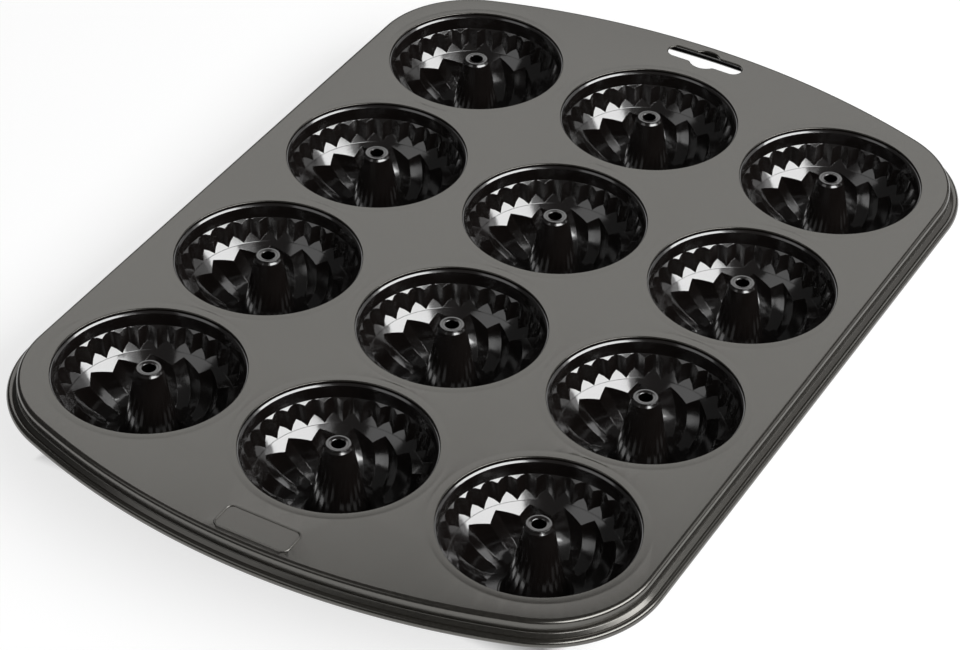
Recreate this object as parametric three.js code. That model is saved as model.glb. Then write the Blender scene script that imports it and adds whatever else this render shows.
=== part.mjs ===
// Muffin pan with twelve fluted ring cups: one pressed tray, a deep-drawn cup seated under each
// of its openings, and a steel wire inside the tray's rolled rim.
// Millimetres, +Z up. The origin is on the surface that the cups stand on, at the pan's middle.
// X runs across the pan, Y along it, and the hanging slot is at the +Y end.
import * as THREE from 'three';
import { mergeVertices } from 'three/addons/utils/BufferGeometryUtils.js';

// Sheet and fits
const traySheet = 0.6;
const cupSheet = 0.5;
const seatGap = 0.3;

// Layout of the cups
const openingRadius = 37.1;
const flangeWidth = 3.5;
const flangeSpacingAcross = 2.4;
const flangeSpacingAlong = 1.1;

// Outline of the deck, from the cup openings out to the face of its rounded shoulder
const sideMargin = 10.6;
const endMargin = 26.4;
const cornerRadius = 44.5;
const endArcRadius = 303;

// Rim below the deck: shoulder, upright wall, narrow ledge and rolled bead
const shoulderRadius = 1.3;
const rimWallHeight = 6;
const rimLedgeWidth = 2.4;
const beadRadius = 1.7;
const curlEnd = THREE.MathUtils.degToRad(-160);

// Hanging slot with its round eye
const slotLength = 34.6;
const slotWidth = 7.9;
const slotEyeRadius = 6.7;
const slotInset = 11.1;

// Cup, as depths below the deck's top and radii about the cup's axis
const cupDepth = 33;
const lipInset = 0.5;
const bandTaper = 0.6;
const bandDepth = 7.2;

// Upper flutes: narrow ridges with a flat roof at the top, standing on a sloping shelf
const upperFlutes = 30;
const upperRidge = 1.9;
const upperTaper = 1.9;
const upperHeight = 7.6;
const roofDrop = 0.5;
const toothDrop = 1.4;

// Lower flutes: wide swirled ridges from the shelf down to the floor, each with one side wider
const lowerFlutes = 15;
const notchRun = 1.3;
const notchShift = THREE.MathUtils.degToRad(2);
const lowerRidge = 2.7;
const ridgeStep = 1.07;
const middleFall = 0.7;
const wallLean = 0.3;
const wallBend = 4;
const swirlPerMm = THREE.MathUtils.degToRad(0.79);

// Turn of each cup in its opening, in degrees, one line for each row from the near end
const cupTurns = [
  [0, 11, 0],
  [-3, 6, -3],
  [9, 5, 5],
  [-1, 7, 4],
];

// Floor and centre tube
const floorOuterRadius = 18.6;
const floorInnerRadius = 14.4;
const tubeTopRadius = 4.7;
const tubeBoreRadius = 2.9;
const tubeRise = 0.8;
const tubeSpread = 0.215;
const tubeFlareHeight = 8;

// How finely round edges are divided
const openingSteps = 20;
const flangeSteps = 12;
const floorSteps = 12;
const tubeSteps = 9;
const cornerSteps = 5;
const endSteps = 3;
const roundSteps = 4;
const curlSteps = 5;
const wireSides = 5;

// Sizes that follow
const fullTurn = Math.PI * 2;
const rightAngle = Math.PI / 2;
const samePoint = 0.001;
const sameAngle = 0.001;
const rows = cupTurns.length;
const columns = cupTurns[0].length;
const deckTop = cupDepth + cupSheet;
const flangeRadius = openingRadius + flangeWidth;
const pitchAcross = 2 * flangeRadius + flangeSpacingAcross;
const pitchAlong = 2 * flangeRadius + flangeSpacingAlong;
const deckHalfWidth = ((columns - 1) / 2) * pitchAcross + openingRadius + sideMargin;
const deckHalfLength = ((rows - 1) / 2) * pitchAlong + openingRadius + endMargin;
const beadCentre = new THREE.Vector2(rimLedgeWidth, -(rimWallHeight + beadRadius));
const beadBore = beadRadius - traySheet;
const wireRadius = beadBore - seatGap;

const trayFinish = { color: 0x55534f, roughness: 0.45, metalness: 0.55 };
const cupFinish = { color: 0x0d0c0b, roughness: 0.2, metalness: 0.5 };
const wireFinish = { color: 0x9a9c9e, roughness: 0.4, metalness: 1 };

// A closed surface is collected as triangles, and its shared corners are merged at the end.
function addTriangle(skin, first, second, third) {
  const touches = (one, other) => one.distanceTo(other) < samePoint;
  if (touches(first, second) || touches(second, third) || touches(third, first)) {
    return;
  }
  for (const corner of [first, second, third]) {
    skin.push(corner.x, corner.y, corner.z);
  }
}

function finishSkin(skin) {
  const geometry = new THREE.BufferGeometry();
  geometry.setAttribute('position', new THREE.Float32BufferAttribute(skin, 3));
  return mergeVertices(geometry);
}

function namedMesh(name, geometry, finish) {
  const mesh = new THREE.Mesh(geometry, new THREE.MeshStandardMaterial(finish));
  mesh.name = name;
  return mesh;
}

// Tray outline at an offset outside the shoulder: straight sides, bowed ends and round corners.
function trayOutline(offset) {
  const endRadius = endArcRadius + offset;
  const roundRadius = cornerRadius + offset;
  const endCentre = deckHalfLength - endArcRadius;
  const cornerX = deckHalfWidth - cornerRadius;
  const cornerY = endCentre + Math.sqrt((endArcRadius - cornerRadius) ** 2 - cornerX ** 2);
  const meeting = Math.atan2(cornerX, cornerY - endCentre);
  const quarter = [];
  for (let step = 0; step < endSteps; step += 1) {
    const angle = (meeting * step) / endSteps;
    quarter.push([endRadius * Math.sin(angle), endCentre + endRadius * Math.cos(angle)]);
  }
  for (let step = 0; step <= cornerSteps; step += 1) {
    const angle = meeting + ((rightAngle - meeting) * step) / cornerSteps;
    quarter.push([cornerX + roundRadius * Math.sin(angle), cornerY + roundRadius * Math.cos(angle)]);
  }
  const onSide = quarter.slice(1);
  const farRight = quarter.map(([x, y]) => new THREE.Vector2(x, y));
  const nearRight = onSide.map(([x, y]) => new THREE.Vector2(x, -y)).reverse();
  const nearLeft = quarter.map(([x, y]) => new THREE.Vector2(-x, -y));
  const farLeft = onSide.map(([x, y]) => new THREE.Vector2(-x, y)).reverse();
  return [...farRight, ...nearRight, ...nearLeft, ...farLeft].reverse();
}

// Section of the sheet from the deck round to the free edge of the bead, outer face then inner face.
function rimSection() {
  const face = (depthIn) => {
    const points = [];
    const bend = shoulderRadius - depthIn;
    for (const angle of [rightAngle, rightAngle / 2, 0]) {
      points.push([bend * Math.cos(angle) - shoulderRadius, bend * Math.sin(angle) - shoulderRadius]);
    }
    points.push([-depthIn, -rimWallHeight - depthIn]);
    for (let step = 0; step <= curlSteps; step += 1) {
      const angle = rightAngle + ((curlEnd - rightAngle) * step) / curlSteps;
      const reach = beadRadius - depthIn;
      points.push([beadCentre.x + reach * Math.cos(angle), beadCentre.y + reach * Math.sin(angle)]);
    }
    return points;
  };
  return [...face(0), ...face(traySheet).reverse()];
}

// Rings of the tray outline, one for each point of a section, joined into a skin.
function sweepRound(skin, section, closed) {
  const rings = section.map(([offset, height]) => (
    trayOutline(offset).map((point) => new THREE.Vector3(point.x, point.y, deckTop + height))
  ));
  const spans = closed ? rings.length : rings.length - 1;
  for (let span = 0; span < spans; span += 1) {
    const upper = rings[span];
    const lower = rings[(span + 1) % rings.length];
    joinEqualRings(skin, upper, lower);
  }
}

function joinEqualRings(skin, upper, lower) {
  const count = upper.length;
  for (let index = 0; index < count; index += 1) {
    const next = (index + 1) % count;
    addTriangle(skin, upper[index], lower[index], lower[next]);
    addTriangle(skin, upper[index], lower[next], upper[next]);
  }
}

function circlePoints(centreX, centreY, radius, steps) {
  const points = [];
  for (let step = 0; step < steps; step += 1) {
    const angle = (fullTurn * step) / steps;
    points.push(new THREE.Vector2(centreX + radius * Math.cos(angle), centreY + radius * Math.sin(angle)));
  }
  return points;
}

function arcPoints(centreX, centreY, radius, from, to) {
  const points = [];
  for (let step = 0; step <= roundSteps; step += 1) {
    const angle = from + ((to - from) * step) / roundSteps;
    points.push(new THREE.Vector2(centreX + radius * Math.cos(angle), centreY + radius * Math.sin(angle)));
  }
  return points;
}

// Round-ended slot with a wider round eye at its middle, counter-clockwise.
function slotOutline() {
  const half = slotWidth / 2;
  const endX = slotLength / 2 - half;
  const centreY = deckHalfLength - slotInset;
  const eyeAngle = Math.asin(half / slotEyeRadius);
  return [
    ...arcPoints(endX, centreY, half, -rightAngle, rightAngle),
    ...arcPoints(0, centreY, slotEyeRadius, eyeAngle, Math.PI - eyeAngle),
    ...arcPoints(-endX, centreY, half, rightAngle, 3 * rightAngle),
    ...arcPoints(0, centreY, slotEyeRadius, Math.PI + eyeAngle, fullTurn - eyeAngle),
  ];
}

function cupCentres() {
  const centres = [];
  for (let row = 0; row < rows; row += 1) {
    for (let column = 0; column < columns; column += 1) {
      const x = (column - (columns - 1) / 2) * pitchAcross;
      const y = (row - (rows - 1) / 2) * pitchAlong;
      const turn = THREE.MathUtils.degToRad(cupTurns[row][column]);
      centres.push({ x, y, turn, name: `cup_row${row + 1}_col${column + 1}` });
    }
  }
  return centres;
}

// Pressed tray: the flat deck with its openings, closed all round by the rim's section.
function makeTray() {
  const skin = [];
  const section = rimSection();
  const contour = trayOutline(section[0][0]);
  const openings = cupCentres().map(({ x, y }) => circlePoints(x, y, openingRadius, openingSteps));
  openings.push(slotOutline());
  const corners = [contour, ...openings].flat();
  const lift = (point, height) => new THREE.Vector3(point.x, point.y, height);
  for (const [a, b, c] of THREE.ShapeUtils.triangulateShape(contour, openings)) {
    const [first, second, third] = [corners[a], corners[b], corners[c]];
    const facesUp = THREE.ShapeUtils.area([first, second, third]) > 0;
    const [left, right] = facesUp ? [second, third] : [third, second];
    addTriangle(skin, lift(first, deckTop), lift(left, deckTop), lift(right, deckTop));
    const under = deckTop - traySheet;
    addTriangle(skin, lift(first, under), lift(right, under), lift(left, under));
  }
  for (const opening of openings) {
    const top = opening.map((point) => lift(point, deckTop)).reverse();
    const bottom = opening.map((point) => lift(point, deckTop - traySheet)).reverse();
    joinEqualRings(skin, top, bottom);
  }
  sweepRound(skin, section, false);
  return namedMesh('tray', finishSkin(skin), trayFinish);
}

// Wire that stiffens the rim, inside the bead all the way round.
function makeRimWire() {
  const skin = [];
  const section = [];
  for (let side = 0; side < wireSides; side += 1) {
    const angle = (-fullTurn * side) / wireSides;
    section.push([beadCentre.x + wireRadius * Math.cos(angle), beadCentre.y + wireRadius * Math.sin(angle)]);
  }
  sweepRound(skin, section, true);
  return namedMesh('rim_wire', finishSkin(skin), wireFinish);
}

// One ring of points about the cup's axis. place gives each point's radius, depth and extra turn.
function cupRing(count, phase, place) {
  const points = [];
  for (let index = 0; index < count; index += 1) {
    const { radius, depth, turn = 0 } = place(index);
    const angle = phase + (fullTurn * index) / count + turn;
    points.push(new THREE.Vector3(radius * Math.cos(angle), radius * Math.sin(angle), deckTop - depth));
  }
  const turn = place(0).turn ?? 0;
  return { points, start: phase + turn, step: fullTurn / count };
}

// Rings with as many points are joined point to point, others by the angles of their points.
function joinCupRings(skin, upper, lower) {
  if (upper.points.length === lower.points.length) {
    joinEqualRings(skin, upper.points, lower.points);
    return;
  }
  const pick = (ring, index) => ring.points[index % ring.points.length];
  const angleAt = (ring, index) => ring.start + ring.step * index;
  let above = 0;
  let below = 0;
  while (above < upper.points.length || below < lower.points.length) {
    const nextAbove = above < upper.points.length ? angleAt(upper, above + 1) : Infinity;
    const nextBelow = below < lower.points.length ? angleAt(lower, below + 1) : Infinity;
    if (nextAbove <= nextBelow + sameAngle) {
      addTriangle(skin, pick(upper, above), pick(lower, below), pick(upper, above + 1));
      above += 1;
    } else {
      addTriangle(skin, pick(upper, above), pick(lower, below), pick(lower, below + 1));
      below += 1;
    }
  }
}

// Heights and radii of one face of the cup's sheet. The back face is one sheet behind the front.
// The cup is turned in its opening, all but the edge of its flange.
function cupFace(back, cupTurn) {
  const turnedRing = (count, phase, place) => cupRing(count, phase + cupTurn, place);
  const plainRing = (count, phase, radius, depth) => turnedRing(count, phase, () => ({ radius, depth }));
  const upperStep = fullTurn / upperFlutes;
  const wallRadius = openingRadius - lipInset + back;
  const valleyTop = wallRadius - bandTaper;
  const ridgeTop = valleyTop - upperRidge;
  const toothRadius = valleyTop - upperTaper;
  const footRadius = ridgeTop - upperTaper;
  const flangeDepth = traySheet + seatGap + back;
  const roofDepth = bandDepth + back;
  const toothDepth = bandDepth + upperHeight + back / 2;
  const footDepth = toothDepth + toothDrop;

  const flangeEdge = cupRing(flangeSteps, 0, () => ({ radius: flangeRadius, depth: flangeDepth }));
  const flangeRoot = plainRing(upperFlutes, upperStep / 2, wallRadius, flangeDepth);
  const bandFoot = plainRing(upperFlutes, upperStep / 2, valleyTop, roofDepth);
  const fluteTop = turnedRing(2 * upperFlutes, 0, (index) => (
    index % 2 ? { radius: valleyTop, depth: roofDepth } : { radius: ridgeTop, depth: roofDepth + roofDrop }
  ));
  const fluteFoot = turnedRing(2 * upperFlutes, 0, (index) => (
    index % 2 ? { radius: toothRadius, depth: toothDepth } : { radius: footRadius, depth: footDepth }
  ));
  const shelf = plainRing(upperFlutes, 0, footRadius, footDepth);

  // The shelf slopes at 45 degrees to the notches, and further down to the ridges' tips.
  const notch = { radius: footRadius - notchRun, depth: footDepth + notchRun };
  const tip = { radius: notch.radius - lowerRidge, depth: notch.depth + lowerRidge * ridgeStep };
  const floorDepth = cupDepth + back;
  const lowerRing = (fall) => turnedRing(2 * lowerFlutes, 0, (index) => {
    const crest = index % 2 ? tip : notch;
    const bent = wallLean * fall + (1 - wallLean) * fall ** wallBend;
    const radius = crest.radius - (crest.radius - floorOuterRadius) * bent;
    const depth = crest.depth + (floorDepth - crest.depth) * fall;
    const shift = index % 2 ? 0 : notchShift;
    return { radius, depth, turn: shift - swirlPerMm * (depth - tip.depth) };
  });
  const fluteCrown = lowerRing(0);
  const fluteMiddle = lowerRing(middleFall);
  const floorTurn = -swirlPerMm * (floorDepth - tip.depth);
  const floorEdge = plainRing(floorSteps, floorTurn, floorOuterRadius, floorDepth);
  const floorRoot = plainRing(tubeSteps, floorTurn, floorInnerRadius, floorDepth);

  const flareDepth = floorDepth - tubeFlareHeight;
  const flareRadius = tubeTopRadius + tubeSpread * (flareDepth + tubeRise) - back;
  const tubeFlare = plainRing(tubeSteps, floorTurn, flareRadius, flareDepth);
  const tubeTop = plainRing(tubeSteps, floorTurn, tubeTopRadius - back, back - tubeRise);
  const tubeBore = plainRing(tubeSteps, floorTurn, tubeBoreRadius, back - tubeRise);
  const upper = [flangeEdge, flangeRoot, bandFoot, fluteTop, fluteFoot, shelf];
  const lower = [fluteMiddle, floorEdge, floorRoot, tubeFlare, tubeTop, tubeBore];
  return back ? [...upper, ...lower] : [...upper, fluteCrown, ...lower];
}

// Deep-drawn cup: a flange under the deck, a plain band, two tiers of flutes, floor and centre tube.
function makeCup({ x, y, turn, name }) {
  const skin = [];
  const rings = [...cupFace(cupSheet, turn), ...cupFace(0, turn).reverse()];
  rings.forEach((ring, index) => {
    joinCupRings(skin, ring, rings[(index + 1) % rings.length]);
  });
  const cup = namedMesh(name, finishSkin(skin), cupFinish);
  cup.position.set(x, y, 0);
  return cup;
}

const pan = new THREE.Group();
pan.add(makeTray());
pan.add(makeRimWire());
for (const centre of cupCentres()) {
  pan.add(makeCup(centre));
}

export default pan;
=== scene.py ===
import bmesh
import bpy
import math
from mathutils import Matrix, Vector


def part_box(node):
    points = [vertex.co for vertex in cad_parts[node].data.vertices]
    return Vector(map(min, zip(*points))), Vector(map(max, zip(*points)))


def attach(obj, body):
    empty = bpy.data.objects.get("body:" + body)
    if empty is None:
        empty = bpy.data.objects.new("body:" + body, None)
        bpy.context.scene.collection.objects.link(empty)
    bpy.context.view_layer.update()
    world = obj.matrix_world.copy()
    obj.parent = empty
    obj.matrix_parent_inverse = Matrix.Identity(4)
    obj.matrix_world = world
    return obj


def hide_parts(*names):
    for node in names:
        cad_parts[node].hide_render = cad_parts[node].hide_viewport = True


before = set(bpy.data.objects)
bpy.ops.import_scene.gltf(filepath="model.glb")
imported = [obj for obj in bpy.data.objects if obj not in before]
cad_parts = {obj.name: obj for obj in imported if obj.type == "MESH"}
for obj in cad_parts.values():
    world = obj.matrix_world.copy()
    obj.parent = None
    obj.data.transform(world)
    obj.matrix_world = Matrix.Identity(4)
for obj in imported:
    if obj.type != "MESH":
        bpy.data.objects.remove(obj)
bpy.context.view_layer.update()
print("frame loaded,", len(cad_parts), "solids")

mm = 0.001  # settings are in millimetres, Blender works in metres
fullTurn = 2 * math.pi
quarterTurn = math.pi / 2
alongY = (0, 1, 0)
alongZ = (0, 0, 1)
middle = (0, 0, 0)

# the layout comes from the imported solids
panLayout = {"columns": 3, "rows": 4}
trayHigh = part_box("tray")[1]
deckTop = trayHigh.z
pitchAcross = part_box("cup_row1_col2")[0].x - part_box("cup_row1_col1")[0].x
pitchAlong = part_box("cup_row2_col1")[0].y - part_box("cup_row1_col1")[0].y

# each cup sits at its own turn in its opening, in degrees
cupTurns = {
    "row1": (0, 11, 0),
    "row2": (-3, 6, -3),
    "row3": (9, 5, 5),
    "row4": (-1, 7, 4),
}


def cupPlaces():
    places = {}
    for row in range(panLayout["rows"]):
        for column in range(panLayout["columns"]):
            across = (column - (panLayout["columns"] - 1) / 2) * pitchAcross
            along = (row - (panLayout["rows"] - 1) / 2) * pitchAlong
            places[f"row{row + 1}_col{column + 1}"] = Vector((across, along, 0))
    return places


def lengths(shape, *names):
    # settings in metres
    return [shape[name] * mm for name in names]


# working habits: selection, edit mode and modifiers
def clearSelection():
    if bpy.context.mode != "OBJECT":
        bpy.ops.object.mode_set(mode="OBJECT")
    bpy.ops.object.select_all(action="DESELECT")


def chooseOnly(piece):
    clearSelection()
    piece.select_set(True)
    bpy.context.view_layer.objects.active = piece


def startEdit(piece):
    chooseOnly(piece)
    bpy.ops.object.mode_set(mode="EDIT")
    bpy.ops.mesh.select_mode(type="VERT")


def endEdit():
    bpy.ops.object.mode_set(mode="OBJECT")


def openMesh():
    mesh = bmesh.from_edit_mesh(bpy.context.edit_object.data)
    mesh.verts.index_update()
    return mesh


def pickPoints(test):
    bpy.ops.mesh.select_all(action="DESELECT")
    mesh = openMesh()
    for point in mesh.verts:
        point.select = test(point)
    mesh.select_flush(True)
    bmesh.update_edit_mesh(bpy.context.edit_object.data)


def pickEdges(test):
    bpy.ops.mesh.select_all(action="DESELECT")
    bpy.ops.mesh.select_mode(type="EDGE")
    mesh = openMesh()
    for edge in mesh.edges:
        edge.select_set(test(edge))
    bmesh.update_edit_mesh(bpy.context.edit_object.data)


def applyModifier(piece, kind, **settings):
    chooseOnly(piece)
    modifier = piece.modifiers.new(kind.lower(), kind)
    for name, value in settings.items():
        setattr(modifier, name, value)
    bpy.ops.object.modifier_apply(modifier=modifier.name)


def copyOf(piece):
    chooseOnly(piece)
    bpy.ops.object.duplicate(linked=False)
    return bpy.context.active_object


def deletePiece(piece):
    chooseOnly(piece)
    bpy.ops.object.delete()


def joinPieces(pieces):
    chooseOnly(pieces[0])
    for piece in pieces[1:]:
        piece.select_set(True)
    bpy.ops.object.join()
    return pieces[0]


def moveTo(piece, place):
    chooseOnly(piece)
    piece.location = place
    bpy.ops.object.transform_apply(location=True, rotation=True, scale=True)


# a single point to draw sections from
def startPoint(name, place):
    clearSelection()
    bpy.ops.mesh.primitive_plane_add(size=mm, location=middle)
    piece = bpy.context.active_object
    piece.name = name
    startEdit(piece)
    bpy.ops.mesh.select_all(action="SELECT")
    bpy.ops.mesh.merge(type="CENTER")
    bpy.ops.transform.translate(value=place)
    return piece


def drawTo(step):
    bpy.ops.mesh.extrude_vertices_move(TRANSFORM_OT_translate={"value": step})


def pull(step):
    bpy.ops.mesh.extrude_edges_move(TRANSFORM_OT_translate={"value": step})


def sweepRound(steps, angle, centre, axis=alongZ):
    # a positive angle turns counter-clockwise about the axis
    bpy.ops.mesh.spin(steps=steps, angle=-angle, center=centre, axis=axis)


def faceUp():
    # all faces the same way round, with the sheet's upper side outwards
    bpy.ops.mesh.normals_make_consistent(inside=False)
    upward = sum(face.normal.z * face.calc_area() for face in openMesh().faces) > 0
    if not upward:
        bpy.ops.mesh.flip_normals()


sheetFinish = {"sharpAngle": math.radians(40), "normalWeight": 50}


def smoothSheet(piece):
    chooseOnly(piece)
    bpy.ops.object.shade_smooth_by_angle(angle=sheetFinish["sharpAngle"])
    weight = sheetFinish["normalWeight"]
    applyModifier(piece, "WEIGHTED_NORMAL", mode="FACE_AREA", weight=weight, keep_sharp=True)


# The tray's outline: straight sides, bowed ends and round corners. Drawn as a quarter and mirrored.
trayShape = {
    "sheet": 0.6,
    "cornerRadius": 44.5,
    "endRadius": 303.0,
    "cornerSteps": 30,
    "endSteps": 24,
    "seam": 0.02,  # the mirrored halves join within this
    "level": 0.005,  # what lies this close to the deck's top is part of it
}

# The rim's section, from the deck outwards and down, measured from the wall's outer face.
rimShape = {
    "shoulderRadius": 1.9,
    "shoulderSteps": 8,
    "wallHeight": 6.0,  # from the deck's top down to the bead's top
    "footFillet": 0.6,
    "footSteps": 4,
    "ledgeWidth": 2.4,  # out to the bead's middle
    "ledgeSlope": math.radians(33),
    "beadRadius": 1.67,
    "beadReach": 4.07,  # out to the bead's outer side
    "curlStart": math.radians(-30),  # both ends of the curl are counted from the bead's top
    "curlEnd": math.radians(250),
    "curlSteps": 22,
}

deckHalfWidth = trayHigh.x - rimShape["beadReach"] * mm
deckHalfLength = trayHigh.y - rimShape["beadReach"] * mm


def sweepOutline(detail=1.0):
    # the selected section stands on the right-hand side at Y 0, and is carried to the far end's middle
    corner, endRadius = lengths(trayShape, "cornerRadius", "endRadius")
    endCentre = deckHalfLength - endRadius
    cornerX = deckHalfWidth - corner
    cornerY = endCentre + math.sqrt((endRadius - corner) ** 2 - cornerX ** 2)
    meeting = math.atan2(cornerX, cornerY - endCentre)
    pull((0, cornerY, 0))
    sweepRound(int(trayShape["cornerSteps"] * detail), quarterTurn - meeting, (cornerX, cornerY, 0))
    sweepRound(int(trayShape["endSteps"] * detail), meeting, (0, endCentre, 0))


def mirrorQuarter(piece):
    endEdit()
    seam = trayShape["seam"] * mm
    applyModifier(piece, "MIRROR", use_axis=(True, True, False), merge_threshold=seam)


def beadCentre():
    ledge, wall, bead = lengths(rimShape, "ledgeWidth", "wallHeight", "beadRadius")
    return Vector((deckHalfWidth + ledge, 0, deckTop - wall - bead))


def drawRim():
    bend, fillet = lengths(rimShape, "shoulderRadius", "footFillet")
    ledge, bead = lengths(rimShape, "ledgeWidth", "beadRadius")
    slope = rimShape["ledgeSlope"]
    start = rimShape["curlStart"]
    face = deckHalfWidth
    centre = beadCentre()

    # the ledge runs from the wall's foot down to where the curl starts
    run = ledge + bead * math.sin(start) - fillet * (1 - math.sin(slope))
    fall = run * math.tan(slope)
    foot = centre.z + bead * math.cos(start) + fall - fillet * (1 - math.cos(slope))
    rim = startPoint("trayRim", (face - bend, 0, deckTop))
    sweepRound(rimShape["shoulderSteps"], quarterTurn, (face - bend, 0, deckTop - bend), alongY)
    drawTo((0, 0, foot + fillet - deckTop + bend))
    sweepRound(rimShape["footSteps"], slope - quarterTurn, (face + fillet, 0, foot + fillet), alongY)
    drawTo((run, 0, -fall))
    sweepRound(rimShape["curlSteps"], rimShape["curlEnd"] - start, centre, alongY)
    bpy.ops.mesh.select_all(action="SELECT")
    sweepOutline()
    mirrorQuarter(rim)
    return rim


# Edge of a cup opening, from the faint press ring on the deck to the turned-down lip.
openingShape = {
    "radius": 37.1,
    "edgeRound": 0.45,
    "ringRadius": 40.55,
    "ringWidth": 0.8,
    "ringDepth": 0.09,
    "points": 96,
    "roundSteps": 5,
}


def drawOpening():
    shape = openingShape
    half = shape["ringWidth"] / 2
    rings = [(shape["ringRadius"], shape["ringDepth"]), (shape["ringRadius"] - half, 0)]
    for step in range(shape["roundSteps"] + 1):
        angle = quarterTurn * step / shape["roundSteps"]
        reach = shape["radius"] + shape["edgeRound"] * (1 - math.sin(angle))
        rings.append((reach, shape["edgeRound"] * (1 - math.cos(angle))))
    clearSelection()
    start = shape["ringRadius"] + half
    bpy.ops.mesh.primitive_circle_add(vertices=shape["points"], radius=start * mm, location=middle)
    opening = bpy.context.active_object
    opening.name = "trayOpening"
    startEdit(opening)
    bpy.ops.mesh.select_all(action="SELECT")
    radius, depth = start, 0
    for nextRadius, nextDepth in rings:
        pull((0, 0, (depth - nextDepth) * mm))
        grow = nextRadius / radius
        bpy.ops.transform.resize(value=(grow, grow, 1), center_override=middle)
        radius, depth = nextRadius, nextDepth
    endEdit()
    return opening


# Hanging slot with a round eye, its edge turned down.
slotShape = {
    "length": 34.6,
    "width": 7.9,
    "eyeRadius": 6.7,
    "inset": 11.1,
    "edgeRound": 0.5,
    "edgeDrop": 0.75,
    "cornerRound": 1.6,
    "edgeSteps": 4,
    "endSteps": 12,
    "cornerSteps": 6,
    "eyeSteps": 10,
}


def drawSlot():
    length, width, eye, inset = lengths(slotShape, "length", "width", "eyeRadius", "inset")
    edge, drop, corner = lengths(slotShape, "edgeRound", "edgeDrop", "cornerRound")
    half = width / 2
    endX = length / 2 - half
    outer = length / 2 + edge
    slot = startPoint("traySlot", (outer, 0, 0))
    sweepRound(slotShape["edgeSteps"], -quarterTurn, (outer, 0, -edge), alongY)
    drawTo((0, 0, edge - drop))
    bpy.ops.mesh.select_all(action="SELECT")
    sweepRound(slotShape["endSteps"], quarterTurn, (endX, 0, 0))
    filletY = half + corner
    filletX = math.sqrt((eye + corner) ** 2 - filletY ** 2)
    eyeStart = math.atan2(filletY, filletX)
    pull((filletX - endX, 0, 0))
    sweepRound(slotShape["cornerSteps"], eyeStart - quarterTurn, (filletX, filletY, 0))
    sweepRound(slotShape["eyeSteps"], quarterTurn - eyeStart, middle)
    mirrorQuarter(slot)
    moveTo(slot, (0, deckHalfLength - inset, deckTop))
    return slot


# Blank pressed frame on the near end.
plateShape = {
    "width": 30.7,
    "length": 12.0,
    "corner": 2.6,
    "cornerSteps": 8,
    "line": 1.1,
    "rise": 0.32,
    "climbs": (0.35, 0.65, 0, -0.65, -0.35),  # even steps across the line, in shares of its rise
    "fromEnd": 10.05,
    "aside": -0.5,
    "level": 0.01,
}


def drawPlate():
    width, length, corner = lengths(plateShape, "width", "length", "corner")
    line, rise, fromEnd, aside = lengths(plateShape, "line", "rise", "fromEnd", "aside")
    halfX = width / 2
    halfY = length / 2
    step = line / len(plateShape["climbs"])
    plate = startPoint("trayPlate", (halfX + line / 2, 0, 0))
    for climb in plateShape["climbs"]:
        drawTo((-step, 0, rise * climb))
    bpy.ops.mesh.select_all(action="SELECT")
    pull((0, halfY - corner, 0))
    sweepRound(plateShape["cornerSteps"], quarterTurn, (halfX - corner, halfY - corner, 0))
    pull((corner - halfX, 0, 0))
    mirrorQuarter(plate)

    # the field inside the line's inner edge is closed by one face
    startEdit(plate)
    inX = halfX - line / 2 + step / 2
    inY = halfY - line / 2 + step / 2
    level = plateShape["level"] * mm
    pickPoints(lambda point: abs(point.co.x) < inX and abs(point.co.y) < inY and point.co.z < level)
    bpy.ops.mesh.edge_face_add()
    endEdit()
    moveTo(plate, (aside, fromEnd - deckHalfLength, deckTop))
    return plate


def finishTray():
    opening = drawOpening()
    openings = []
    for place in cupPlaces().values():
        copy = copyOf(opening)
        moveTo(copy, place + Vector((0, 0, deckTop)))
        openings.append(copy)
    deletePiece(opening)
    tray = joinPieces([drawRim(), drawSlot(), drawPlate(), *openings])
    tray.name = "trayPressed"

    # the deck fills the space between the rim, the openings, the slot and the plate
    startEdit(tray)
    level = trayShape["level"] * mm

    def bordersDeck(edge):
        return edge.is_boundary and all(abs(point.co.z - deckTop) < level for point in edge.verts)

    pickEdges(bordersDeck)
    bpy.ops.mesh.fill(use_beauty=True)
    bpy.ops.mesh.select_mode(type="VERT")
    bpy.ops.mesh.select_all(action="SELECT")
    bpy.ops.mesh.remove_doubles(threshold=level)
    faceUp()
    endEdit()
    sheet = trayShape["sheet"] * mm
    applyModifier(tray, "SOLIDIFY", thickness=sheet, offset=-1, use_even_offset=True)
    smoothSheet(tray)
    return tray


# Steel wire inside the bead.
wireShape = {"radius": 0.8, "sides": 12, "weld": 0.01, "detail": 0.6}


def drawWire():
    radius, weld = lengths(wireShape, "radius", "weld")
    centre = beadCentre()
    wire = startPoint("rimWireRound", centre + Vector((radius, 0, 0)))
    sweepRound(wireShape["sides"], fullTurn, centre, alongY)
    bpy.ops.mesh.select_all(action="SELECT")
    bpy.ops.mesh.remove_doubles(threshold=weld)
    bpy.ops.mesh.select_all(action="SELECT")
    sweepOutline(wireShape["detail"])
    mirrorQuarter(wire)
    startEdit(wire)
    bpy.ops.mesh.select_all(action="SELECT")
    bpy.ops.mesh.normals_make_consistent(inside=False)
    endEdit()
    chooseOnly(wire)
    bpy.ops.object.shade_smooth()
    return wire


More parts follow.
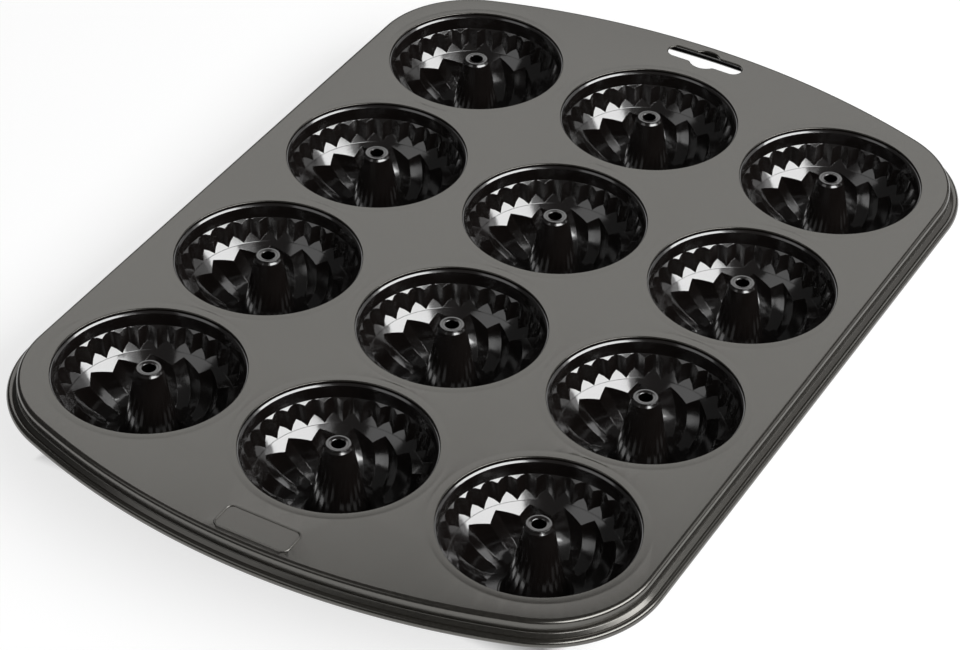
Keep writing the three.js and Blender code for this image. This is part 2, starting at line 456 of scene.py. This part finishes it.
# One fifteenth of a cup: a slice with one swirled flute below and two hollow flutes above.
# Depths are below the deck's top, radii about the cup's axis. Pairs are a radius and a depth.
cupShape = {
    "sheet": 0.5,
    "slices": 15,
    "lines": 8,
    "flangeRadius": 40.6,
    "flangeDepth": 0.9,
    "lip": ((36.85, 0.9), (36.68, 0.96), (36.56, 1.08), (36.02, 1.65)),
    "band": (36.0, 7.2),
    "roof": (34.8, 8.35),
    "roofHollow": 0.78,
    "tooth": (34.8, 13.6),
    "toothHollow": 0.58,
    "foot": (32.2, 16.2),
    "grooveWidth": 0.3,
    "grooveDepth": 0.04,
    "notchRun": 1.3,  # in and down from the upper flutes' foot
    "lowerRidge": 2.7,  # the tips lie this much further in than the notches
    "ridgeStep": 1.07,  # and this many times that further down
    "notchShift": math.radians(2),
    "notchFoot": (21.5, 33.0),
    "tipFoot": (19.4, 32.1),
    "wallSteps": 16,
    "wallLean": 0.3,  # share of the wall's run that comes evenly
    "wallFlick": 0.35,  # share that comes near the floor
    "flickBend": 5,
    "swirlPerMm": math.radians(0.79),  # along the wall
    "floorDepth": 33.0,
    "floorOuter": 18.6,
    "floorEdge": 1.0,
    "flareRadius": 3.0,
    "flareSteps": 6,
    "tubeRadius": 5.45,
    "tubeDepth": 0.42,
    "tubeSpread": 0.196,  # radius gained per millimetre of depth
    "tubeMiddle": 10,  # depth of a ring part of the way down
    "ringRadius": 4.8,
    "ringFoot": -0.32,
    "ringRise": 0.8,
    "ringRound": 0.25,
    "ringSteps": 3,
    "ringStep": 0.08,
    "bore": 2.65,
    "boreRound": 0.2,
    "edgeRound": 0.4,
    "edgeAngle": math.radians(22),
    "edgeSteps": 2,
    "weld": 0.02,
    "speck": 0.01,
}


def blend(one, other, share):
    return tuple(first + (last - first) * share for first, last in zip(one, other))


def plainRing(point, turn=None):
    # one ring with all of the slice's lines at the same radius and depth; no turn keeps the last one
    return [(*point, turn)] * cupShape["lines"]


def upperRing(ridge, valley, hollow):
    # two flutes in a slice, each hollowed between its ridges
    between = blend(ridge, valley, hollow)
    return [(*point, None) for point in (ridge, between, valley, between)] * 2


def upperRings():
    # flange, lip, plain band, upper flutes and the groove at the shelf's top
    shape = cupShape
    footRadius, footDepth = shape["foot"]
    groove = shape["grooveWidth"]
    sunk = groove / 2 + shape["grooveDepth"]
    return [
        plainRing((shape["flangeRadius"], shape["flangeDepth"])),
        *[plainRing(point) for point in shape["lip"]],
        plainRing(shape["band"]),
        upperRing(shape["roof"], shape["band"], shape["roofHollow"]),
        upperRing(shape["foot"], shape["tooth"], shape["toothHollow"]),
        plainRing(shape["foot"]),
        plainRing((footRadius - groove + sunk, footDepth + sunk)),
        plainRing((footRadius - groove, footDepth + groove)),
    ]


def wallLine(crest, foot, shift, turnFrom):
    # one line down the lower wall, upright at first and bent in to the floor, turning as it goes
    shape = cupShape
    lean, flick = shape["wallLean"], shape["wallFlick"]
    line = []
    path = crest[1] - turnFrom
    radius, depth = crest
    for step in range(shape["wallSteps"] + 1):
        fall = step / shape["wallSteps"]
        bent = lean * fall + (1 - lean - flick) * fall ** 2 + flick * fall ** shape["flickBend"]
        nextRadius = crest[0] - (crest[0] - foot[0]) * bent
        nextDepth = crest[1] + (foot[1] - crest[1]) * fall
        path += math.hypot(nextRadius - radius, nextDepth - depth)
        radius, depth = nextRadius, nextDepth
        line.append((radius, depth, shift - shape["swirlPerMm"] * path))
    return line


def lowerRings():
    # swirled flutes from the shelf's notches and tips down to the floor
    shape = cupShape
    footRadius, footDepth = shape["foot"]
    notch = (footRadius - shape["notchRun"], footDepth + shape["notchRun"])
    tip = (notch[0] - shape["lowerRidge"], notch[1] + shape["lowerRidge"] * shape["ridgeStep"])
    lines = []
    for line in range(shape["lines"]):
        share = 1 - abs(2 * line / shape["lines"] - 1)  # 0 at the notch, 1 at the tip
        crest = blend(notch, tip, share)
        foot = blend(shape["notchFoot"], shape["tipFoot"], share)
        lines.append(wallLine(crest, foot, shape["notchShift"] * (1 - share), tip[1]))
    return [list(ring) for ring in zip(*lines)]


def tubeRings(turn):
    # flat foot ring, flare, tube, and the ring round the bore
    shape = cupShape
    floor = shape["floorDepth"]
    slope = shape["tubeSpread"]
    points = [(shape["floorOuter"], floor), (shape["floorOuter"] - shape["floorEdge"], floor)]

    def tubeAt(depth):
        return shape["tubeRadius"] + slope * (depth - shape["tubeDepth"])

    bend = shape["flareRadius"]
    flareTurn = quarterTurn - math.atan(slope)
    flareTop = tubeAt(floor - bend * (1 - math.cos(flareTurn)))
    for step in range(shape["flareSteps"] + 1):
        angle = flareTurn * step / shape["flareSteps"]
        reach = flareTop + bend * (math.sin(flareTurn) - math.sin(angle))
        points.append((reach, floor - bend * (1 - math.cos(angle))))
    points.append((tubeAt(shape["tubeMiddle"]), shape["tubeMiddle"]))
    points.append((shape["tubeRadius"], shape["tubeDepth"]))

    top = -shape["ringRise"]
    corner = shape["ringRound"]
    points.append((shape["ringRadius"], shape["ringFoot"]))
    for step in range(shape["ringSteps"] + 1):
        angle = quarterTurn * step / shape["ringSteps"]
        radius = shape["ringRadius"] - corner * (1 - math.cos(angle))
        points.append((radius, top + corner * (1 - math.sin(angle))))
    fold = (shape["ringRadius"] + shape["bore"]) / 2
    inside = top + shape["ringStep"]
    points.append((fold, top))
    points.append((fold - shape["ringStep"], inside))
    points.append((shape["bore"] + shape["boreRound"], inside))
    points.append((shape["bore"], inside + shape["boreRound"]))
    return [plainRing(point, turn) for point in points]


def cupRings():
    # each ring gives radius, depth and turn for the slice's lines, from one notch past the tip to the next
    lower = lowerRings()
    tipTurn = lower[-1][cupShape["lines"] // 2][2]
    return upperRings() + lower + tubeRings(tipTurn)


def shiftPoints(chosen, now, goal):
    pickPoints(lambda point: point.index in chosen)
    bpy.ops.transform.translate(value=(0, 0, (now[1] - goal[1]) * mm))
    grow = goal[0] / now[0]
    bpy.ops.transform.resize(value=(grow, grow, 1), center_override=middle)
    if goal[2] != now[2]:
        bpy.ops.transform.rotate(value=now[2] - goal[2], orient_axis="Z", center_override=middle)


def drawSlice():
    rings = cupRings()
    count = cupShape["lines"]
    radius, depth, turn = rings[0][0]
    piece = startPoint("cupSlice", (radius * mm, 0, deckTop - depth * mm))
    sweepRound(count, fullTurn / cupShape["slices"], middle)
    bpy.ops.mesh.select_all(action="SELECT")
    now = [(radius, depth, 0.0)] * count
    for ring in rings[1:]:
        goal = []
        for (newRadius, newDepth, newTurn), last in zip(ring, now):
            goal.append((newRadius, newDepth, last[2] if newTurn is None else newTurn))
        pull((0, 0, 0))
        fresh = [point for point in openMesh().verts if point.select]
        fresh.sort(key=lambda point: math.atan2(point.co.y, point.co.x))
        order = [point.index for point in fresh]

        # a plain ring moves as a whole, others line by line, with the slice's two edges together
        steady = len(set(ring)) == 1 and len(set(now)) == 1
        groups = [range(count + 1)] if steady else [(0, count)] + [(line,) for line in range(1, count)]
        for group in groups:
            shiftPoints({order[column] for column in group}, now[group[0]], goal[group[0]])
        now = goal
        pickPoints(lambda point: point.index in order)
    return piece


def finishCup():
    cup = drawSlice()
    slices = cupShape["slices"]
    edge, sheet, weld, speck = lengths(cupShape, "edgeRound", "sheet", "weld", "speck")
    lastTurn = fullTurn * (slices - 1) / slices
    bpy.ops.mesh.select_all(action="SELECT")
    bpy.ops.mesh.spin(steps=slices - 1, dupli=True, angle=lastTurn, center=middle, axis=alongZ)
    bpy.ops.mesh.select_all(action="SELECT")
    bpy.ops.mesh.remove_doubles(threshold=weld)
    bpy.ops.mesh.dissolve_degenerate(threshold=speck)
    bpy.ops.mesh.select_all(action="SELECT")
    faceUp()
    endEdit()
    angle = cupShape["edgeAngle"]
    steps = cupShape["edgeSteps"]
    applyModifier(cup, "BEVEL", limit_method="ANGLE", angle_limit=angle, width=edge, segments=steps)
    applyModifier(cup, "SOLIDIFY", thickness=sheet, offset=-1)
    smoothSheet(cup)
    return cup


def copyCups(masterCup):
    cups = {}
    for name, place in cupPlaces().items():
        cup = copyOf(masterCup)
        cup.name = "flutedCup_" + name
        row, column = name.split("_col")
        cup.rotation_euler.z = math.radians(cupTurns[row][int(column) - 1])
        moveTo(cup, place)
        cups[name] = cup
    deletePiece(masterCup)
    return cups


tray = finishTray()
print("tray drawn,", len(tray.data.polygons), "faces")
wire = drawWire()
print("rim wire drawn,", len(wire.data.polygons), "faces")
masterCup = finishCup()
print("cup drawn,", len(masterCup.data.polygons), "faces")
cups = copyCups(masterCup)
print("cups copied,", len(cups))


# finishes
def newFinish(name):
    finish = bpy.data.materials.new(name)
    finish.use_nodes = True
    tree = finish.node_tree
    shader = tree.nodes["Principled BSDF"]
    return finish, tree, shader


def addNode(tree, kind, **sockets):
    node = tree.nodes.new(kind)
    for name, value in sockets.items():
        node.inputs[name].default_value = value
    return node


def addNoise(tree, scale, detail, roughness):
    place = tree.nodes.new("ShaderNodeTexCoord")
    noise = addNode(tree, "ShaderNodeTexNoise", Scale=scale, Detail=detail, Roughness=roughness)
    tree.links.new(place.outputs["Object"], noise.inputs["Vector"])
    return noise


def toneAround(tree, pattern, color, swing, span=(0.25, 0.75)):
    # a colour ramp that swings a little to both sides of a colour
    tone = tree.nodes.new("ShaderNodeValToRGB")
    low, high = tone.color_ramp.elements
    low.position, high.position = span
    low.color = [part * (1 - swing) for part in color] + [1]
    high.color = [part * (1 + swing) for part in color] + [1]
    tree.links.new(pattern.outputs["Fac"], tone.inputs["Fac"])
    return tone


def glossFrom(tree, pattern, shader, roughness, swing):
    spread = tree.nodes.new("ShaderNodeMapRange")
    spread.inputs["To Min"].default_value = roughness + swing[0]
    spread.inputs["To Max"].default_value = roughness + swing[1]
    tree.links.new(pattern.outputs["Fac"], spread.inputs["Value"])
    tree.links.new(spread.outputs["Result"], shader.inputs["Roughness"])


bumpHeight = 0.1 * mm


def bumpFrom(tree, pattern, shader, strength):
    bump = addNode(tree, "ShaderNodeBump", Strength=strength, Distance=bumpHeight)
    tree.links.new(pattern.outputs["Fac"], bump.inputs["Height"])
    tree.links.new(bump.outputs["Normal"], shader.inputs["Normal"])


# The tray's coat is dark, and the deck's grey is mostly what it mirrors.
satinCoat = {
    "color": (0.0190, 0.0174, 0.0147),
    "tint": (1.0, 0.975, 0.91),
    "roughness": 0.19,
    "glossSwing": (-0.03, 0.03),
    "ior": 2.05,
    "grain": 800,
    "grainSwing": 0.25,
    "grainSpan": (0.38, 0.62),
    "grainBump": 0.02,
    "cloud": 22,
    "cloudSwing": 0.05,
}


def satinGreyCoat():
    look = satinCoat
    finish, tree, shader = newFinish("satinGreyCoat")
    grain = addNoise(tree, look["grain"], detail=3.0, roughness=0.6)
    cloud = addNoise(tree, look["cloud"], detail=2.0, roughness=0.5)
    speckle = toneAround(tree, grain, look["color"], look["grainSwing"], look["grainSpan"])
    drift = toneAround(tree, cloud, (1, 1, 1), look["cloudSwing"])
    mixed = addNode(tree, "ShaderNodeMixRGB", Fac=1.0)
    mixed.blend_type = "MULTIPLY"
    tree.links.new(speckle.outputs["Color"], mixed.inputs["Color1"])
    tree.links.new(drift.outputs["Color"], mixed.inputs["Color2"])
    tree.links.new(mixed.outputs["Color"], shader.inputs["Base Color"])
    glossFrom(tree, cloud, shader, look["roughness"], look["glossSwing"])
    shader.inputs["IOR"].default_value = look["ior"]
    shader.inputs["Specular Tint"].default_value = (*look["tint"], 1)
    bumpFrom(tree, grain, shader, look["grainBump"])
    return finish


glossCoat = {
    "color": (0.0075, 0.0058, 0.0052),
    "roughness": 0.12,
    "glossSwing": (-0.02, 0.03),
    "ior": 2.05,
    "peel": 420,
    "peelBump": 0.1,
    "cloud": 60,
    "cloudSwing": 0.2,
}


def glossBlackCoat():
    look = glossCoat
    finish, tree, shader = newFinish("glossBlackCoat")
    peel = addNoise(tree, look["peel"], detail=2.0, roughness=0.5)
    cloud = addNoise(tree, look["cloud"], detail=3.0, roughness=0.6)
    tone = toneAround(tree, cloud, look["color"], look["cloudSwing"])
    tree.links.new(tone.outputs["Color"], shader.inputs["Base Color"])
    glossFrom(tree, cloud, shader, look["roughness"], look["glossSwing"])
    shader.inputs["IOR"].default_value = look["ior"]
    bumpFrom(tree, peel, shader, look["peelBump"])
    return finish


wireSteel = {
    "color": (0.32, 0.32, 0.33),
    "roughness": 0.38,
    "scratch": 2600,
    "scratchSwing": 0.15,
    "scratchBump": 0.15,
}


def drawnSteel():
    look = wireSteel
    finish, tree, shader = newFinish("drawnSteel")
    scratch = addNoise(tree, look["scratch"], detail=2.0, roughness=0.5)
    tone = toneAround(tree, scratch, look["color"], look["scratchSwing"])
    tree.links.new(tone.outputs["Color"], shader.inputs["Base Color"])
    shader.inputs["Metallic"].default_value = 1.0
    shader.inputs["Roughness"].default_value = look["roughness"]
    bumpFrom(tree, scratch, shader, look["scratchBump"])
    return finish


def dress(piece, finish, node):
    piece.data.materials.clear()
    piece.data.materials.append(finish)
    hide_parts(node)
    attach(piece, "root")


dress(tray, satinGreyCoat(), "tray")
dress(wire, drawnSteel(), "rim_wire")
blackCoat = glossBlackCoat()
for name, cup in cups.items():
    dress(cup, blackCoat, "cup_" + name)
print("finishes set")

# Pale floor, in metres. It glows white to the camera and in reflections,
# but the glow is masked out under the middle of the pan, which paints shade there.
floorShape = {
    "radius": 12.0,
    "points": 64,
    "white": 0.40,
    "glow": 0.74,
    "shadeX": (-0.004, 0.1055),  # middle and half width of the painted shade
    "shadeY": (0.010, 0.160),
    "shadeEdge": (0.97, 1.05),  # the glow sets in between these shares of the half width
}


def mathNode(tree, operation, *values):
    node = tree.nodes.new("ShaderNodeMath")
    node.operation = operation
    for socket, value in zip(node.inputs, values):
        if isinstance(value, bpy.types.NodeSocket):
            tree.links.new(value, socket)
        else:
            socket.default_value = value
    return node.outputs[0]


def glowOutsidePaintedShade(tree):
    # painted shade: the glow fades to nothing in a box under the middle of the pan
    place = tree.nodes.new("ShaderNodeTexCoord")
    split = tree.nodes.new("ShaderNodeSeparateXYZ")
    tree.links.new(place.outputs["Object"], split.inputs["Vector"])
    shares = []
    for axis in "XY":
        centre, reach = floorShape["shade" + axis]
        away = mathNode(tree, "ABSOLUTE", mathNode(tree, "SUBTRACT", split.outputs[axis], centre))
        shares.append(mathNode(tree, "DIVIDE", away, reach))
    spread = tree.nodes.new("ShaderNodeMapRange")
    spread.inputs["From Min"].default_value = floorShape["shadeEdge"][0]
    spread.inputs["From Max"].default_value = floorShape["shadeEdge"][1]
    spread.inputs["To Max"].default_value = floorShape["glow"]
    tree.links.new(mathNode(tree, "MAXIMUM", *shares), spread.inputs["Value"])
    return spread.outputs["Result"]


def palePaper():
    finish, tree, shader = newFinish("palePaper")
    shader.inputs["Base Color"].default_value = (floorShape["white"],) * 3 + (1,)
    shader.inputs["Roughness"].default_value = 1.0
    shader.inputs["Specular IOR Level"].default_value = 0.0
    rays = tree.nodes.new("ShaderNodeLightPath").outputs
    direct = mathNode(tree, "MAXIMUM", rays["Is Camera Ray"], rays["Is Glossy Ray"])
    seen = mathNode(tree, "MAXIMUM", direct, rays["Is Transmission Ray"])
    # the glow, masked out under the pan as painted shade
    glow = mathNode(tree, "MULTIPLY", seen, glowOutsidePaintedShade(tree))
    shader.inputs["Emission Color"].default_value = (1, 1, 1, 1)
    tree.links.new(glow, shader.inputs["Emission Strength"])
    return finish


def layFloor():
    clearSelection()
    points, radius = floorShape["points"], floorShape["radius"]
    bpy.ops.mesh.primitive_circle_add(vertices=points, radius=radius, fill_type="NGON")
    floor = bpy.context.active_object
    floor.name = "paleFloor"
    floor.data.materials.append(palePaper())


# Soft boxes, in metres and watts. Toward is azimuth, counter-clockwise from +X, and elevation.
softLights = {
    "keyBox": {"toward": (-4, 39), "distance": 1.6, "size": (2.1, 0.64), "power": 23},
    "keyEdge": {"toward": (-4, 41), "distance": 1.6, "size": (2.9, 0.9), "power": 6},
    "backBox": {"toward": (119, 36.8), "distance": 1.7, "size": (2.0, 0.68), "power": 4.6},
    "sideBox": {"toward": (55, 18), "distance": 1.6, "size": (1.0, 0.6), "power": 0.8},
    "fillBox": {"toward": (-123, 42), "distance": 1.6, "size": (1.0, 0.7), "power": 1.3},
}
roomTone = 0.06


def directionTo(azimuth, elevation):
    turn = math.radians(azimuth)
    lift = math.radians(elevation)
    return Vector((math.cos(turn) * math.cos(lift), math.sin(turn) * math.cos(lift), math.sin(lift)))


def hangLights():
    target = Vector((0, 0, deckTop))
    for name, box in softLights.items():
        lamp = bpy.data.lights.new(name, "AREA")
        lamp.shape = "RECTANGLE"
        lamp.size, lamp.size_y = box["size"]
        lamp.energy = box["power"]
        holder = bpy.data.objects.new(name, lamp)
        bpy.context.scene.collection.objects.link(holder)
        out = directionTo(*box["toward"])
        holder.location = target + out * box["distance"]
        holder.rotation_euler = out.to_track_quat("Z", "Y").to_euler()
    world = bpy.data.worlds.new("studio")
    world.use_nodes = True
    room = world.node_tree.nodes["Background"]
    room.inputs["Color"].default_value = (roomTone,) * 3 + (1,)
    room.inputs["Strength"].default_value = 1.0
    bpy.context.scene.world = world


# the camera stands where the photograph was taken from
cameraSet = {
    "lens": 116.24,
    "sensor": 36.0,
    "place": (455.9, -853.2, 737.0),  # from the deck's middle
    "heading": 28.65,
    "elevation": 38.33,
    "roll": 1.83,
}


def setCamera():
    data = bpy.data.cameras.new("productCamera")
    data.lens = cameraSet["lens"]
    data.sensor_width = cameraSet["sensor"]
    data.sensor_fit = "HORIZONTAL"
    camera = bpy.data.objects.new("productCamera", data)
    bpy.context.scene.collection.objects.link(camera)
    camera.location = Vector(cameraSet["place"]) * mm + Vector((0, 0, deckTop))
    turn = Matrix.Rotation(math.radians(cameraSet["heading"]), 4, "Z")
    tilt = Matrix.Rotation(quarterTurn - math.radians(cameraSet["elevation"]), 4, "X")
    roll = Matrix.Rotation(math.radians(cameraSet["roll"]), 4, "Z")
    camera.rotation_euler = (turn @ tilt @ roll).to_euler()
    bpy.context.scene.camera = camera
    bpy.context.scene.view_settings.view_transform = "Standard"


layFloor()
hangLights()
setCamera()
print("floor, lights and camera set")
